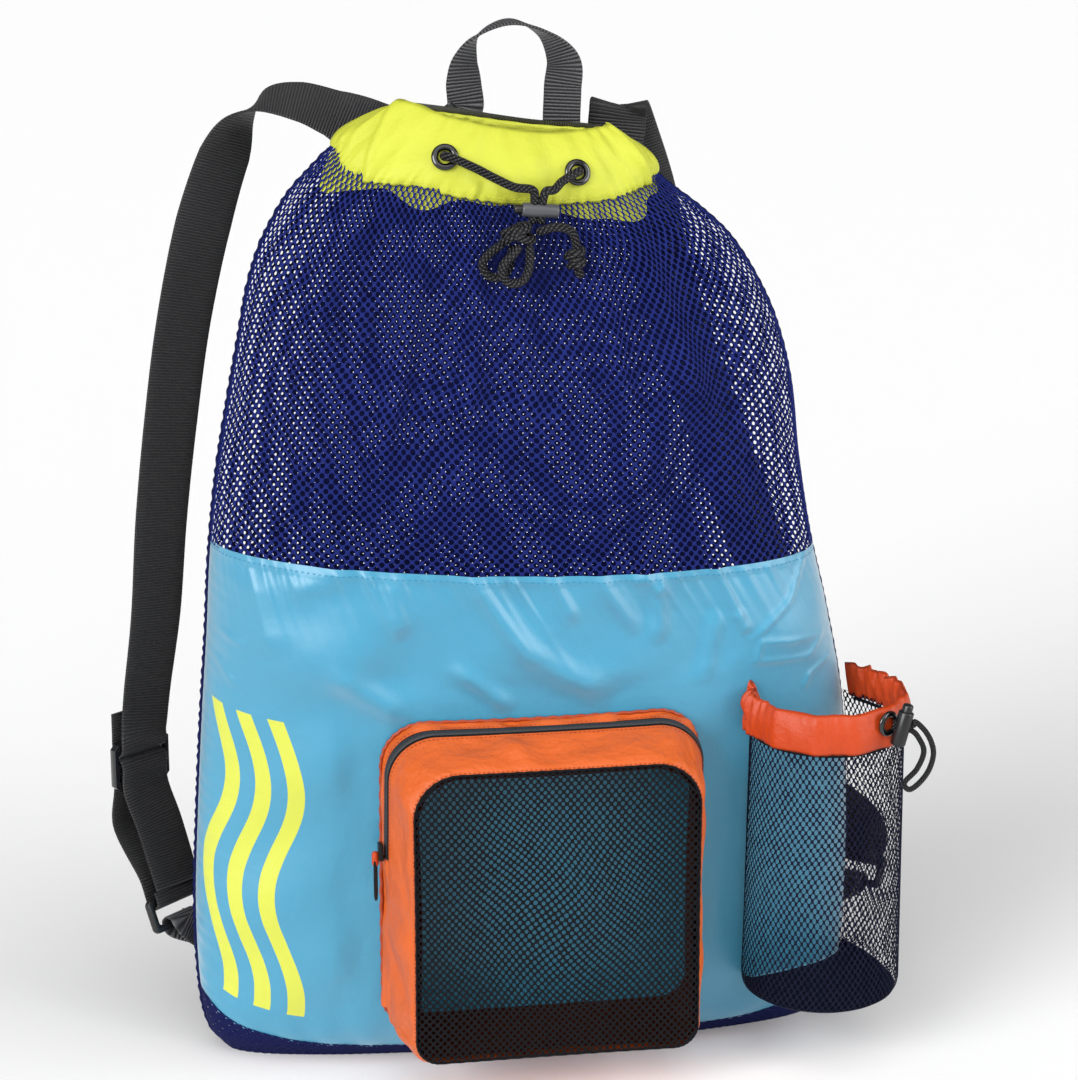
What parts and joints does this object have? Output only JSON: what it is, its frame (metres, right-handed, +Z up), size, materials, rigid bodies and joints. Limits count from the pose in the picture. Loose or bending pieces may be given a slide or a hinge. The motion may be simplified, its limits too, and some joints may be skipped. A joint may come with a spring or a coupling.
{
  "type": "mesh swim backpack",
  "caption": "Drawstring mesh backpack with a nylon lower panel, gathered collar, zipped front pocket, open side sleeve, grab loop and webbing shoulder straps.",
  "frame": {"origin": "middle of the flat base, on the surface the bag stands on", "axes": "+Z up, -Y towards the pocket side, +X towards the sleeve"},
  "size_m": [0.5302, 0.206, 0.6794],
  "materials": {
    "blue_netting": "knitted polyester netting, matt",
    "navy_netting": "knitted polyester netting, matt",
    "black_netting": "knitted polyester netting, matt",
    "blue_nylon": "calendered plain-weave nylon, satin",
    "yellow_nylon": "fine plain-weave nylon, fluorescent dye",
    "orange_nylon": "fine plain-weave nylon, soft sheen",
    "webbing": "ribbed polypropylene webbing",
    "braid": "braided polyester cord",
    "eyelet_metal": "gloss black",
    "zip_tape": "woven tape with a nylon coil",
    "slider_metal": "dark enamel",
    "grey_plastic": "moulded acetal, fine spark texture",
    "dark_plastic": "moulded acetal, fine spark texture"
  },
  "bodies": {
    "bag": {"front_net": "blue_netting", "front_panel": "blue_nylon", "back_net": "navy_netting", "collar": "yellow_nylon", "eyelet_left": "eyelet_metal", "eyelet_right": "eyelet_metal", "neck_tape": "webbing", "cord_lock_body": "grey_plastic", "cord_channel": "braid", "cord_left": "braid", "cord_right": "braid", "cord_knot": "braid", "cord_loop_left": "braid", "cord_loop_right": "braid", "cord_arch": "braid", "cord_end_knot": "braid", "cord_tail": "braid", "grab_loop": "webbing", "strap_left": "webbing", "strap_right": "webbing", "ladder_lock_left": "dark_plastic", "ladder_lock_right": "dark_plastic", "strap_lower_left": "webbing", "strap_lower_right": "webbing", "strap_ring_left": "dark_plastic", "strap_ring_right": "dark_plastic", "strap_tab_left": "webbing", "strap_tab_right": "webbing", "pocket_gusset": "orange_nylon", "pocket_zip": "zip_tape", "pocket_net": "black_netting", "zip_slider": "slider_metal", "zip_pull": "orange_nylon", "sleeve_net": "navy_netting", "sleeve_collar": "orange_nylon", "sleeve_eyelet": "eyelet_metal", "sleeve_lock_body": "dark_plastic", "sleeve_cord": "braid"},
    "draw_button": {"cord_lock_button": "dark_plastic"},
    "sleeve_button": {"sleeve_lock_button": "dark_plastic"}
  },
  "joints": [
    {"name": "draw_button_press", "type": "slide", "parent": "bag", "child": "draw_button", "axis": [0.9962, 0, -0.0872], "range_m": [0, 0.004], "stiffness_N_per_m": 400, "springref_m": -0.004},
    {"name": "sleeve_button_press", "type": "slide", "parent": "bag", "child": "sleeve_button", "axis": [-0.2419, 0, -0.9703], "range_m": [0, 0.004], "stiffness_N_per_m": 400, "springref_m": -0.004}
  ]
}
